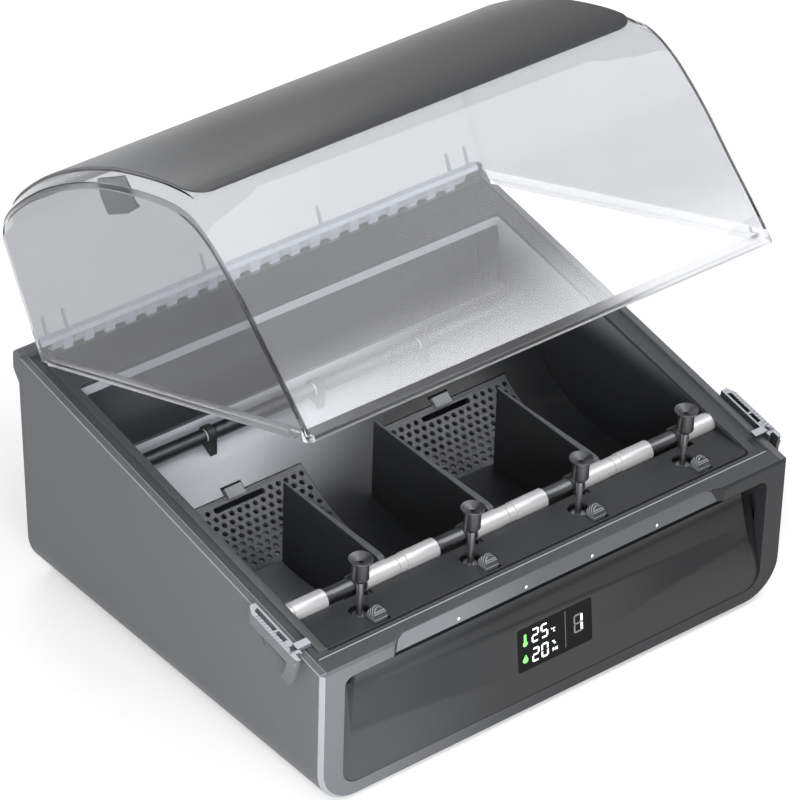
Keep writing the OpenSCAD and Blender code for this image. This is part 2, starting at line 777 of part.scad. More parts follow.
module feeder_cases() color(dark) for (i = [1 : 4]) {
    x = bays[i - 1];
    difference() {
        union() {
            translate([x - 9, 24, case_top - 32]) cube([17, 22.5, 32]);
            for (s = [-1, 1])
                translate([gear_at(i) + s * (gear_w / 2 + 0.2) - 0.8, 38, case_top - 8])
                    cube([1.6, pinion_y - 38 + 2.2, 8]);
            translate([x - 9, 38, case_top - 8]) cube([gear_at(i) - x + 4, 5, 6]);
        }
        translate([x, inlet_y, case_top - 40]) cylinder(d = filament_bore, h = 60);
        translate([gear_at(i), pinion_y, pinion_z]) rod_x(-9, 9, 2);
        translate([x - 1, lever_y - 6, lever_z - 5]) cube([lever_w + 2, 12, 20]);
    }
    translate([gear_at(i), pinion_y, pinion_z]) rod_x(-gear_w / 2 - 1, gear_w / 2 + 1, 2);
    translate([x, lever_y, lever_z]) rod_x(-1.5, lever_w + 1.5, 2);
}

module feeder_motors() color(steel) for (x = bays)
    translate([x - 0.5, 35, case_top - 32 - touch]) mirror([0, 0, 1]) {
        cylinder(d = 20, h = 25);
        cylinder(d = 6, h = 27);
    }

module main_board() color(green) translate([-board_w / 2, 60, foot_h + floor_t + touch]) {
    cube([board_w, board_d, 1.6]);
    for (x = [6, board_w - 9], y = [4, board_d - 7]) translate([x, y, 0]) cube([3, 3, 4]);
}

// ---- Hood ----

module hood_skin(t) {
    hull() {
        along_x(t - hood_half, hood_half - t) polygon(side_points(t));
        along_x(hood_bevel - hood_half, hood_half - hood_bevel) polygon(crown_points(t + top_t + touch));
    }
}

// The tab of the top panel that reaches down through the hood's skin
module hood_tab(gap) along_x(24 - hood_half - gap, 27 - hood_half + gap) polygon([
    [-115 + gap, 104], [-156 - gap, 104], [-155 - gap, 96], [-143 - gap, 80 - gap],
    [-128 + gap, 80 - gap], [-116 + gap, 94],
]);

module hood() color(clear) at_hinge() difference() {
    hood_skin(0);
    hood_skin(hood_t);
    translate([0, -hinge_y, -hinge_z]) mirrored_slope_cut();
    hook_notches();
    hood_tab(seam);
}

module mirrored_slope_cut() {
    on_slope() translate([-big / 2, -50, seam - rebate_d - 150]) cube([big, big, 150]);
    on_slope() translate([rebate_w - rim_half - seam, open_rear, seam - 150])
        cube([2 * (rim_half - rebate_w + seam), 100, 150]);
}

// L-shaped openings for the hooks of the two catches
module hook_notches() translate([0, -hinge_y, -hinge_z]) on_slope() both() {
    translate([hood_half - 5, 21.5, -10]) cube([20, 8.5, 15.5]);
    translate([hood_half - 5, 21.5, 1.7]) cube([20, 8.5 + catch_run, 3.8]);
}

module hood_top_panel() color(dark) at_hinge() {
    w = 2 * (hood_half - hood_bevel);
    intersection() {
        along_x(-w / 2, w / 2)
            polygon(concat(crown_points(0), [for (k = [11 : -1 : 0]) crown_points(top_t)[k]]));
        linear_extrude(300) union() {
            translate([-w / 2, crown_front + 40]) square([w, 250]);
            translate([0, crown_front + 62]) rounded(w, 124, 14);
        }
    }
    intersection() {
        hood_tab(0);
        hood_skin(-top_t);
    }
}

module hinge_bar() color(clear) at_hinge() difference() {
    union() {
        translate([6 - hood_half, touch - hood_back, 2]) cube([2 * hood_half - 12, 2, 6]);
        for (k = [-knuckles : knuckles]) translate([k * knuckle_pitch - knuckle_l / 2, 0, 0]) {
            rod_x(0, knuckle_l, knuckle_d);
            along_x(0, knuckle_l) polygon([
                [-7, 2], [-2, -2.4], [0, 0], [0, knuckle_r], [-7, knuckle_r + 1.6],
            ]);
        }
        both() for (x = [45, hood_half - 26.8, hood_half - 11.8])
            along_x(x - 1, x + 1) polygon([
                [touch - hood_back, 7], [-5.4, 7], [-7.4, 20], [touch - hood_back, 20],
            ]);
    }
    rod_x(-half, half, pin_d + 2 * run_gap);
}

module hinge_pin() color(steel) translate([0, hinge_y, hinge_z]) {
    end = knuckles * knuckle_pitch + knuckle_l / 2 + 1;
    rod_x(-end, end, pin_d);
}

// ---- Catches and fittings ----

catch_start = 16;
bar_t = 3;

// The catch seen from above: base strip, outer bar and the webs between them
module catch_plan() {
    end = catch_start + catch_l;
    base = half + touch;
    bar = half + catch_off;
    translate([base, catch_start + 4]) square([1.4, catch_l - 4]);
    polygon([
        [bar, catch_start], [bar + bar_t - 1, catch_start], [bar + bar_t, catch_start + 2],
        [bar + bar_t, end - 6], [bar, end], [base, end], [base, end - 3], [bar, end - 5],
    ]);
    translate([base, catch_start + catch_l / 2]) square([catch_off + 1, 1.4]);
    translate([half + catch_off / 2 + 0.6, catch_start + 14]) circle(2.6);
    translate([base, catch_start + 5]) square([catch_off + 1, 2.4]);
}

// The tongue at the catch's front end, seen along the slope
module catch_tongue() {
    x = half + catch_off;
    polygon([
        [x, 0], [x + bar_t, 0], [x + bar_t - 0.2, -6], [x + bar_t + 0.6, -11], [x + bar_t + 2.4, -14.6],
        [x + bar_t + 1.2, -15.6], [x + bar_t - 1.6, -11.6], [x + bar_t - 2.4, -6],
    ]);
}

module catch_body() difference() {
    union() {
        translate([0, 0, 4 - catch_h]) linear_extrude(catch_h) catch_plan();
        translate([0, catch_start + 8, 0]) rotate([90, 0, 0]) linear_extrude(8) catch_tongue();
        translate([hood_half - 3, 23, 2.2]) cube([half + 1.4 - hood_half + 3, 5, 2.8]);
        translate([half + touch, foot_s - 2, -7.2]) cube([1.4, 10, 8]);
        translate([half - wall - 0.4, foot_s, -6.6]) cube([wall + 1, 6, 3.2]);
        translate([half - wall - 1.9, foot_s - 1, -9]) cube([1.6, 8, 5.6]);
    }
    for (k = [0 : 13])
        translate([half + catch_off - 1, catch_start + 6 + k * 2.6, 3.6]) cube([bar_t + 2, 1.2, 1]);
}

module catch_right() color(dark) on_slope() catch_body();
module catch_left() color(steel) on_slope() mirror([1, 0, 0]) catch_body();

module feet() color(dark) for (x = [-1, 1] * (half - 37.5), y = [30, body_d - 42])
    translate([x, y, 0]) cylinder(d = foot_d, h = foot_h);

module case_screws() color(steel) for (x = [-1, 1] * screw_x, z = screw_z)
    translate([x, wall_y(z) - rear_t, z]) rotate([-90, 0, 0]) {
        cylinder(d = 3.1, h = rear_t + 0.3);
        translate([0, 0, rear_t + 0.3]) cylinder(d = 5.6, h = 1.6);
    }

module tube_fittings() color(dark) for (i = [0 : 3])
    translate([fitting_x(i), wall_y(fitting_z) - rear_t - 4, fitting_z]) rotate([-90, 0, 0]) difference() {
        union() {
            cylinder(d = 10, h = rear_t + 4);
            translate([0, 0, rear_t + 4 + 0.5]) cylinder(d = 12, h = 2.5);
            translate([0, 0, rear_t + 4]) cylinder(d = 9, h = 1);
        }
        translate([0, 0, -1]) cylinder(d = fitting_bore, h = 20);
    }

module cable_ports() color(dark) for (i = [0, 1])
    translate([port_x(i) - 6, wall_y(port_z) - rear_t - 5, port_z - 4]) difference() {
        cube([12, rear_t + 5, 8]);
        translate([1, 2, 1]) cube([10, 10, 6]);
    }

// ---- Nodes ----

place() housing_shell();
place() rear_panel();
place() front_frame();
place() front_panel();
place() display_window();
place() display_board();
place() led_lenses();
place() rim_frame();
place() tub();
place() deck();
place() divider_left();
place() divider_centre();
place() divider_right();
place() cover_left();
place() cover_right();
place() desiccant_packs();
place() front_shaft();
place() roller_tube(1);  // roller_tube_1
place() roller_tube(2);  // roller_tube_2
place() roller_tube(3);  // roller_tube_3
place() roller_tube(4);  // roller_tube_4
place() roller_gear(1);  // roller_gear_1
place() roller_gear(2);  // roller_gear_2
place() roller_gear(3);  // roller_gear_3
place() roller_gear(4);  // roller_gear_4
place() roller_sleeves(1);  // roller_sleeves_1
place() roller_sleeves(2);  // roller_sleeves_2
place() roller_sleeves(3);  // roller_sleeves_3
place() roller_sleeves(4);  // roller_sleeves_4
place() separators();
place() rear_shaft();
place() rear_roller(1);  // rear_roller_1
place() rear_roller(2);  // rear_roller_2
place() rear_roller(3);  // rear_roller_3
place() rear_roller(4);  // rear_roller_4
place() rear_brackets();
place() rear_bushes();
place() inlet_funnels();
place() inlet_tubes();
place() release_lever(1);  // release_lever_1
place() release_lever(2);  // release_lever_2
place() release_lever(3);  // release_lever_3
place() release_lever(4);  // release_lever_4
place() drive_pinion(1);  // drive_pinion_1
place() drive_pinion(2);  // drive_pinion_2
place() drive_pinion(3);  // drive_pinion_3
place() drive_pinion(4);  // drive_pinion_4
place() feeder_cases();
place() feeder_motors();
place() main_board();
place() hood();
place() hood_top_panel();
place() hinge_bar();
place() hinge_pin();
place() catch_left();
place() catch_right();
place() feet();
place() case_screws();
place() tube_fittings();
place() cable_ports();
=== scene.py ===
import bmesh
import bpy
import json
from math import atan, atan2, cos, pi, radians, sin
from mathutils import Matrix, Vector

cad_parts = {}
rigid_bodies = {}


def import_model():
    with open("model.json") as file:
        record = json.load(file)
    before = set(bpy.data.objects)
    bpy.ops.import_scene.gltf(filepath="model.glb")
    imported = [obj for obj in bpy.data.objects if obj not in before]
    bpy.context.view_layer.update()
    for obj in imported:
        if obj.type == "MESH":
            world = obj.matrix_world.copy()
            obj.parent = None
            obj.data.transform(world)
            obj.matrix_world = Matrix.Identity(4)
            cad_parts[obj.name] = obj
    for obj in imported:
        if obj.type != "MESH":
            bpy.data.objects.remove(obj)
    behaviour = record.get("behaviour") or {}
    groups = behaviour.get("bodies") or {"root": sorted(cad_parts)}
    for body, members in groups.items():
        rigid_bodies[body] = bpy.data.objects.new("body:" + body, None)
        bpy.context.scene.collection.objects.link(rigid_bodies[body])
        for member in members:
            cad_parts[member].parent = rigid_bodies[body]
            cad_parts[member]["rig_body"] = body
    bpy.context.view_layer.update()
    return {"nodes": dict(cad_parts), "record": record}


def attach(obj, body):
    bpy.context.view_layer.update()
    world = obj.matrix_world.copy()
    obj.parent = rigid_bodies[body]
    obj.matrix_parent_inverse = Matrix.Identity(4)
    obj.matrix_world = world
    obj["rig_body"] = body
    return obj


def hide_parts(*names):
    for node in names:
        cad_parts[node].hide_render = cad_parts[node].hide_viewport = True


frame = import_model()

MM = 0.001
SLOPE = radians(11.1)
OPENING = radians(30)


# ---- Shared shader groups ----

def new_group(name, inputs, outputs):
    group = bpy.data.node_groups.new(name, "ShaderNodeTree")
    for label, kind, value in inputs:
        socket = group.interface.new_socket(label, in_out="INPUT", socket_type=kind)
        socket.default_value = value
    for label, kind in outputs:
        group.interface.new_socket(label, in_out="OUTPUT", socket_type=kind)
    return group, group.nodes.new("NodeGroupInput"), group.nodes.new("NodeGroupOutput")


def add_node(tree, kind, links=None, **settings):
    node = tree.nodes.new(kind)
    for key, value in settings.items():
        setattr(node, key, value)
    for socket, source in (links or {}).items():
        if isinstance(source, bpy.types.NodeSocket):
            tree.links.new(source, node.inputs[socket])
        else:
            node.inputs[socket].default_value = source
    return node


def object_place(tree):
    """The shading point in the object's own space."""
    return add_node(tree, "ShaderNodeTexCoord").outputs["Object"]


SURFACE_RESULTS = [
    ("Colour", "NodeSocketColor"), ("Roughness", "NodeSocketFloat"), ("Normal", "NodeSocketVector"),
]


def moulded_surface_group():
    """Fine grain and slow changes of tone and roughness, for moulded plastic."""
    group, given, result = new_group(
        "moulded_surface",
        [
            ("Colour", "NodeSocketColor", (0.1, 0.1, 0.1, 1)),
            ("Tone spread", "NodeSocketFloat", 0.1),
            ("Roughness", "NodeSocketFloat", 0.5),
            ("Roughness spread", "NodeSocketFloat", 0.1),
            ("Grain scale", "NodeSocketFloat", 900.0),
            ("Grain height", "NodeSocketFloat", 0.1),
        ],
        SURFACE_RESULTS,
    )
    place = object_place(group)
    slow = add_node(group, "ShaderNodeTexNoise", {"Vector": place, "Scale": 9.0, "Detail": 3.0})
    fine = add_node(group, "ShaderNodeTexNoise", {
        "Vector": place, "Scale": given.outputs["Grain scale"], "Detail": 2.0, "Roughness": 0.6,
    })
    centred = add_node(group, "ShaderNodeMath", {0: slow.outputs["Fac"], 1: -0.5}, operation="ADD")
    speck = add_node(group, "ShaderNodeMath", {0: fine.outputs["Fac"], 1: -0.5}, operation="ADD")
    both = add_node(group, "ShaderNodeMath", {
        0: speck.outputs[0], 1: 0.35, 2: centred.outputs[0],
    }, operation="MULTIPLY_ADD")
    tone = add_node(group, "ShaderNodeMath", {
        0: both.outputs[0], 1: given.outputs["Tone spread"], 2: 1.0,
    }, operation="MULTIPLY_ADD")
    shade = add_node(group, "ShaderNodeVectorMath", {
        0: given.outputs["Colour"], "Scale": tone.outputs[0],
    }, operation="SCALE")
    rough = add_node(group, "ShaderNodeMath", {
        0: both.outputs[0], 1: given.outputs["Roughness spread"], 2: given.outputs["Roughness"],
    }, operation="MULTIPLY_ADD", use_clamp=True)
    bump = add_node(group, "ShaderNodeBump", {
        "Height": fine.outputs["Fac"], "Strength": given.outputs["Grain height"], "Distance": 0.0002,
    })
    group.links.new(shade.outputs[0], result.inputs["Colour"])
    group.links.new(rough.outputs[0], result.inputs["Roughness"])
    group.links.new(bump.outputs[0], result.inputs["Normal"])
    return group


def turned_metal_group():
    """Fine lines left by turning or drawing, running round or along one axis."""
    group, given, result = new_group(
        "turned_metal",
        [
            ("Colour", "NodeSocketColor", (0.6, 0.6, 0.6, 1)),
            ("Stretch", "NodeSocketVector", (1.0, 1.0, 1.0)),
            ("Roughness", "NodeSocketFloat", 0.3),
            ("Line depth", "NodeSocketFloat", 0.1),
        ],
        SURFACE_RESULTS,
    )
    place = object_place(group)
    squeezed = add_node(group, "ShaderNodeVectorMath", {
        0: place, 1: given.outputs["Stretch"],
    }, operation="MULTIPLY")
    lines = add_node(group, "ShaderNodeTexNoise", {
        "Vector": squeezed.outputs[0], "Scale": 1.0, "Detail": 3.0,
    })
    spread = add_node(group, "ShaderNodeMapRange", {
        "Value": lines.outputs["Fac"], "From Min": 0.3, "From Max": 0.7, "To Min": 0.82, "To Max": 1.12,
    })
    shade = add_node(group, "ShaderNodeVectorMath", {
        0: given.outputs["Colour"], "Scale": spread.outputs[0],
    }, operation="SCALE")
    rough = add_node(group, "ShaderNodeMath", {
        0: lines.outputs["Fac"], 1: 0.16, 2: given.outputs["Roughness"],
    }, operation="MULTIPLY_ADD", use_clamp=True)
    bump = add_node(group, "ShaderNodeBump", {
        "Height": lines.outputs["Fac"], "Strength": given.outputs["Line depth"], "Distance": 0.0001,
    })
    group.links.new(shade.outputs[0], result.inputs["Colour"])
    group.links.new(rough.outputs[0], result.inputs["Roughness"])
    group.links.new(bump.outputs[0], result.inputs["Normal"])
    return group


MOULDED = moulded_surface_group()
TURNED = turned_metal_group()


def new_material(name):
    material = bpy.data.materials.new(name)
    material.use_nodes = True
    shader = material.node_tree.nodes["Principled BSDF"]
    return material, material.node_tree, shader


def wear(tree, surface, shader):
    """Links a surface group's three results to the shader."""
    for result, socket in (("Colour", "Base Color"), ("Roughness", "Roughness"), ("Normal", "Normal")):
        tree.links.new(surface.outputs[result], shader.inputs[socket])


def blended(tree, share, first, second):
    """A colour between two others, as a share of the second."""
    mix = add_node(tree, "ShaderNodeMix", {"Factor": share, "A": first, "B": second}, data_type="RGBA")
    return mix.outputs[2]


def grey(value):
    return (value * 0.97, value * 1.01, value * 1.08, 1)


def scaled(colour, share):
    """A colour times a share, no channel over 1."""
    return tuple(min(1, c * share) for c in colour[:3]) + (1,)


def object_ramp(tree, direction, start, end, low, high):
    """A value that eases along one direction of the object's own space."""
    place = object_place(tree)
    along = add_node(tree, "ShaderNodeVectorMath", {
        0: place, 1: tuple(direction),
    }, operation="DOT_PRODUCT")
    return add_node(tree, "ShaderNodeMapRange", {
        "Value": along.outputs["Value"],
        "From Min": start, "From Max": end, "To Min": low, "To Max": high,
    }, interpolation_type="SMOOTHSTEP").outputs[0]


def moulded(
    name, colour, roughness=0.5, spread=0.12, scale=900.0, height=0.12, rough_spread=0.15,
    painted_light_to=None, **sockets,
):
    """Moulded plastic; the ramp (direction, start, end, colour), where given, paints light and shade as a
    tone that drifts across the part.
    """
    material, tree, shader = new_material(name)
    surface = add_node(tree, "ShaderNodeGroup", node_tree=MOULDED)
    for label, value in (
        ("Colour", colour), ("Tone spread", spread), ("Roughness", roughness),
        ("Roughness spread", rough_spread), ("Grain scale", scale), ("Grain height", height),
    ):
        surface.inputs[label].default_value = value
    if painted_light_to:
        share = object_ramp(tree, *painted_light_to[:3], 0.0, 1.0)
        tree.links.new(blended(tree, share, colour, painted_light_to[3]), surface.inputs["Colour"])
    wear(tree, surface, shader)
    for label, value in sockets.items():
        shader.inputs[label.replace("_", " ")].default_value = value
    return material


def metal(name, colour, stretch, roughness=0.3, depth=0.1):
    material, tree, shader = new_material(name)
    surface = add_node(tree, "ShaderNodeGroup", node_tree=TURNED)
    surface.inputs["Colour"].default_value = colour
    surface.inputs["Stretch"].default_value = stretch
    surface.inputs["Roughness"].default_value = roughness
    surface.inputs["Line depth"].default_value = depth
    wear(tree, surface, shader)
    shader.inputs["Metallic"].default_value = 1.0
    return material


def ribbed(name, valley_painted_shade, crest_painted_highlight, direction, pitch):
    """Moulded plastic in fine dark and light bands across one direction: the ribs' painted shade in the
    valleys and painted highlight on the crests.
    """
    material, tree, shader = new_material(name)
    place = object_place(tree)
    along = add_node(tree, "ShaderNodeVectorMath", {0: place, 1: direction}, operation="DOT_PRODUCT")
    turns = add_node(tree, "ShaderNodeMath", {
        0: along.outputs["Value"], 1: 2 * pi / pitch,
    }, operation="MULTIPLY")
    wave = add_node(tree, "ShaderNodeMath", {0: turns.outputs[0]}, operation="SINE")
    share = add_node(tree, "ShaderNodeMapRange", {
        "Value": wave.outputs[0], "From Min": -0.3, "From Max": 0.3,
    })
    surface = add_node(tree, "ShaderNodeGroup", node_tree=MOULDED)
    surface.inputs["Roughness"].default_value = 0.45
    tree.links.new(blended(tree, share.outputs[0], valley_painted_shade, crest_painted_highlight), surface.inputs["Colour"])
    wear(tree, surface, shader)
    return material


def lit(name, colour, strength):
    """A lit mark or lens, a little uneven in its glow."""
    material, tree, shader = new_material(name)
    place = object_place(tree)
    glow = add_node(tree, "ShaderNodeTexNoise", {"Vector": place, "Scale": 600.0})
    shade = blended(tree, glow.outputs["Fac"], colour, scaled(colour, 0.85))
    tree.links.new(shade, shader.inputs["Base Color"])
    tree.links.new(shade, shader.inputs["Emission Color"])
    shader.inputs["Emission Strength"].default_value = strength
    return material


def haze_and_painted_reflection(name, colour, direction, start, end, low, high, glow):
    """A milky film that thins out along one direction and glows: haze with a painted reflection of the
    studio light on it.
    """
    material, tree, shader = new_material(name)
    place = object_place(tree)
    cloud = add_node(tree, "ShaderNodeTexNoise", {"Vector": place, "Scale": 7.0, "Detail": 1.0})
    film = object_ramp(tree, direction, start, end, low, high)
    patchy = add_node(tree, "ShaderNodeMapRange", {
        "Value": cloud.outputs["Fac"], "To Min": 0.85, "To Max": 1.15,
    })
    alpha = add_node(tree, "ShaderNodeMath", {
        0: film, 1: patchy.outputs[0],
    }, operation="MULTIPLY", use_clamp=True)
    tree.links.new(alpha.outputs[0], shader.inputs["Alpha"])
    shader.inputs["Base Color"].default_value = scaled(colour, 0.3)
    shader.inputs["Emission Color"].default_value = colour
    shader.inputs["Emission Strength"].default_value = glow
    shader.inputs["Roughness"].default_value = 0.25
    return material


def clear_plastic(name, tint, roughness=0.03, ior=1.3, painted_shade_tint=None):
    """Clear moulding with a trace of haze, whose tint may ease from left to right as painted shade. Light
    passes it.
    """
    material, tree, shader = new_material(name)
    place = object_place(tree)
    cloud = add_node(tree, "ShaderNodeTexNoise", {"Vector": place, "Scale": 14.0, "Detail": 2.0})
    rough = add_node(tree, "ShaderNodeMapRange", {
        "Value": cloud.outputs["Fac"], "To Min": roughness, "To Max": roughness + 0.02,
    })
    tree.links.new(rough.outputs[0], shader.inputs["Roughness"])
    shader.inputs["Base Color"].default_value = tint
    if painted_shade_tint:
        side = object_ramp(tree, (1, 0, 0), -0.178, 0.178, 0.0, 1.0)
        tree.links.new(blended(tree, side, tint, painted_shade_tint), shader.inputs["Base Color"])
    rays = add_node(tree, "ShaderNodeLightPath")
    let_through = add_node(tree, "ShaderNodeMath", {
        0: rays.outputs["Is Shadow Ray"], 1: -0.88, 2: 1.0,
    }, operation="MULTIPLY_ADD")
    tree.links.new(let_through.outputs[0], shader.inputs["Alpha"])
    shader.inputs["Transmission Weight"].default_value = 1.0
    shader.inputs["IOR"].default_value = ior
    return material


# Square to the foot of the open hood
OPEN_UP = Vector((0, -sin(SLOPE - OPENING), cos(SLOPE - OPENING)))

FINISH = {
    "housing": moulded("housing_grey", grey(0.12), 0.5, height=0.2),
    # Painted shade: the front darkens from left to right.
    "front_face": moulded(
        "front_grey_painted_shade", grey(0.17), 0.5, height=0.2, painted_light_to=((1, 0, 0), -0.18, 0.02, grey(0.03)),
        Specular_IOR_Level=0.3,
    ),
    # Painted shade: the lighter scoop darkens from left to right.
    "strip": moulded(
        "scoop_grey_painted_shade", grey(0.2), 0.4, height=0.1, painted_light_to=((1, 0, 0), -0.1, 0.0, grey(0.1)),
    ),
    # Painted highlight for the rim frame's eased edges.
    "rim_painted_highlight": moulded("rim_painted_highlight", grey(0.16), 0.35),
    "clip_top": moulded("clip_grey", grey(0.24), 0.4),
    "clip_front": moulded("clip_white", grey(0.75), 0.4),
    # Painted highlight for eased edges and chamfers, fading to dark towards the right.
    "edge": moulded("painted_highlight_edge", grey(0.36), 0.4, painted_light_to=((1, 0, 0), -0.178, -0.06, grey(0.08))),
    # Painted shade: the panel darkens from left to right.
    "front_panel": moulded(
        "front_panel_grey_painted_shade", grey(0.055), 0.4, painted_light_to=((1, 0, 0), -0.14, -0.03, grey(0.02)),
        Specular_IOR_Level=0.4,
    ),
    "rim": moulded("rim_charcoal", grey(0.06), 0.45),
    # Painted light: the tub's grey turns much lighter higher up and towards the left.
    "tub": moulded(
        "tub_grey_painted_light", grey(0.022), 0.35, spread=0.06, height=0.02,
        painted_light_to=((-0.3, 0, 1), 0.055, 0.108, grey(0.46)), Specular_IOR_Level=0.4,
    ),
    "cover": moulded("cover_grey", grey(0.095), 0.4, height=0.05),
    "divider": moulded("divider_black", grey(0.016), 0.5, height=0.15),
    "inner_dark": moulded("deck_black", grey(0.03), 0.5, height=0.15),
    "fitting_black": moulded("fitting_black", grey(0.02), 0.45),
    "lever_black": moulded("lever_black", grey(0.03), 0.45),
    "catch_grey": moulded("catch_grey", grey(0.16), 0.4),
    # Painted highlight: the catches' upward faces are lighter.
    "catch_top": moulded("catch_top_painted_highlight", grey(0.45), 0.35),
    # Painted light: the dividers' upward faces are lighter.
    "divider_top": moulded("divider_top_painted_light", grey(0.1), 0.4),
    "feet": moulded("foot_rubber", grey(0.02), 0.8),
    "sleeve": moulded("sleeve_white", (0.62, 0.62, 0.63, 1), 0.32, spread=0.12, Metallic=0.35),
    "bush": moulded("bush_ivory", (0.7, 0.7, 0.68, 1), 0.5),
    "gear": moulded("gear_black", grey(0.025), 0.4),
    "steel": metal("ground_steel", (0.42, 0.425, 0.44, 1), (40.0, 2500.0, 2500.0), 0.28),
    "rear_roller": metal("dark_anodised", (0.10, 0.103, 0.108, 1), (40.0, 2500.0, 2500.0), 0.35),
    "funnel": metal("turned_steel", (0.16, 0.162, 0.168, 1), (60.0, 60.0, 3000.0), 0.3),
    "motor": moulded("motor_can", (0.3, 0.3, 0.31, 1), 0.4),
    "board": moulded("board_green", (0.03, 0.16, 0.08, 1), 0.4),
    "display": moulded(
        "display_black", grey(0.006), 0.12, height=0.01, rough_spread=0.03, Specular_IOR_Level=0.08,
    ),
    "tube": metal("blackened_steel", (0.15, 0.153, 0.16, 1), (40.0, 2500.0, 2500.0), 0.25),
    # Painted highlight and shade of ribs that are not modelled.
    "ribbed": ribbed("lever_painted_ribs", grey(0.03), grey(0.3), (0, -0.7, 0.7), 0.0013),
    "led": lit("led_lens", (0.9, 0.95, 0.92, 1), 0.8),
    "digit": lit("display_white", (0.95, 0.97, 1.0, 1), 1.0),
    "ghost": lit("display_ghost", (0.2, 0.2, 0.21, 1), 0.3),
    "sign": lit("display_green", (0.2, 0.75, 0.16, 1), 0.8),
    # Painted shade in the grooves of the engraved arrows.
    "engraved": moulded("engraved_line_painted_shade", grey(0.02), 0.7),
    # Painted highlight: a light grey bead for the rim's bright front edge.
    "highlight_bead": moulded("rim_painted_highlight_bead", grey(0.42), 0.3),
    # Painted shade: black for the scoop ends and for the backing seen over the front panel.
    "shade": moulded("painted_shade_black", grey(0.012), 0.6),
    "pack": moulded("desiccant_paper", (0.75, 0.76, 0.76, 1), 0.8),
    "clear": clear_plastic("hood_clear", (0.93, 0.935, 0.95, 1), 0.0),
    # Smoked sides whose tint darkens from left to right as painted shade.
    "clear_side": clear_plastic(
        "hood_smoke_painted_shade", (0.66, 0.665, 0.68, 1), 0.0, painted_shade_tint=(0.58, 0.587, 0.605, 1),
    ),
    "clear_edge": clear_plastic("hood_flange", (0.9, 0.905, 0.92, 1), 0.3),
    # Painted shade: a darker tint on the hood's corner bevels and eased edges.
    "clear_line": clear_plastic("hood_edge_painted_shade", (0.5, 0.51, 0.53, 1), 0.15),
    "hinge": moulded("hinge_frosted", grey(0.9), 0.15, spread=0.05),
    # Painted reflection: glowing films that whiten the hood, strongest low on the front and thinning
    # along the side from left to right.
    "film": haze_and_painted_reflection("hood_haze_painted_reflection", (0.9, 0.91, 0.93, 1), OPEN_UP, 0.19, 0.25, 0.5, 0.06, 0.8),
    "film_side": haze_and_painted_reflection("hood_side_haze_painted_reflection", (0.6, 0.61, 0.63, 1), (1, 0, 0), -0.178, 0.178, 0.1, 0.06, 0.5),
    # Painted reflection: the black panel turns lighter towards the rear left.
    "top_panel": moulded(
        "top_panel_black_painted_reflection", grey(0.045), 0.35, painted_light_to=((-0.8, 0.6, 0), 0.11, 0.19, grey(0.16)),
    ),
}

slots = {part["node"]: part["material_slot"] for part in frame["record"]["subparts"]}
OWN_FINISH = {
    "front_frame": "front_face", "cover_left": "cover", "cover_right": "cover", "divider_left": "divider",
    "divider_centre": "divider", "divider_right": "divider", "rear_brackets": "fitting_black",
}
for bay in range(1, 5):
    OWN_FINISH["roller_tube_%d" % bay] = "tube"
    OWN_FINISH["release_lever_%d" % bay] = "ribbed"


def node_finish(node):
    return FINISH[OWN_FINISH.get(node, slots[node])]


# ---- Pieces ----

def eased_edges(piece, width, segments, angle):
    """A bevel, its width in millimetres, on every edge sharper than the angle."""
    bevel = piece.modifiers.new("ease", "BEVEL")
    bevel.width = width * MM
    bevel.segments = segments
    bevel.limit_method = "ANGLE"
    bevel.angle_limit = radians(angle)
    bevel.harden_normals = True
    return bevel


def thickened(piece, thickness):
    """A wall, its thickness in millimetres, grown inwards from a skin."""
    wall = piece.modifiers.new("wall", "SOLIDIFY")
    wall.thickness = thickness * MM
    wall.offset = -1
    return wall


def new_piece(name, shape, finish, body, smooth=35, ease=None, segments=2):
    """A mesh in metres that rides on a body, with its edges eased by a bevel where asked."""
    mesh = bpy.data.meshes.new(name)
    shape.to_mesh(mesh)
    shape.free()
    piece = bpy.data.objects.new(name, mesh)
    bpy.context.scene.collection.objects.link(piece)
    for material in finish if isinstance(finish, list) else [finish]:
        mesh.materials.append(material)
    mesh.shade_smooth()
    mesh.set_sharp_from_angle(angle=radians(smooth))
    if ease:
        eased_edges(piece, ease, segments, smooth)
    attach(piece, body)
    return piece


def merged(node):
    """A copy of a CAD node's mesh with its split corners joined and its flat faces whole."""
    shape = bmesh.new()
    shape.from_mesh(frame["nodes"][node].data)
    bmesh.ops.remove_doubles(shape, verts=shape.verts, dist=1e-6)
    bmesh.ops.dissolve_limit(
        shape, angle_limit=radians(0.4), verts=shape.verts, edges=shape.edges, delimit={"NORMAL"},
    )
    for face in shape.faces:
        face.material_index = 0
    return shape


def softened(node, width=0.4, segments=2, angle=32, paint=None, finishes=(), edge=None):
    """The node's own shape with its edges eased, as a mould or a file leaves them.

    finishes are names beside the node's own; paint gives each face the number of one of them,
    and edge is the number for the eased edges.
    """
    shape = merged(node)
    for face in shape.faces if paint else ():
        face.material_index = int(paint(face))
    piece = new_piece(
        node + "_eased", shape, [node_finish(node), *(FINISH[name] for name in finishes)],
        frame["nodes"][node]["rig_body"], angle, width, segments,
    )
    if edge is not None:
        piece.modifiers["ease"].material = edge
    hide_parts(node)
    return piece


for name, node in frame["nodes"].items():
    node.data.materials.clear()
    node.data.materials.append(node_finish(name))

HINGE = Vector((0, 0.146, 0.164265))
FRONT_H = 0.102
HALF_D = 0.152
# Where the painted faces lie, in metres
TUB_LEDGE = 0.095
PANEL_BACKING = -0.1429
PANEL_GAP = 0.083
SCOOP_ENDS = (0.117, 0.131)
CLIP_TOP = 0.0668
RIM_SKIN = 0.0004


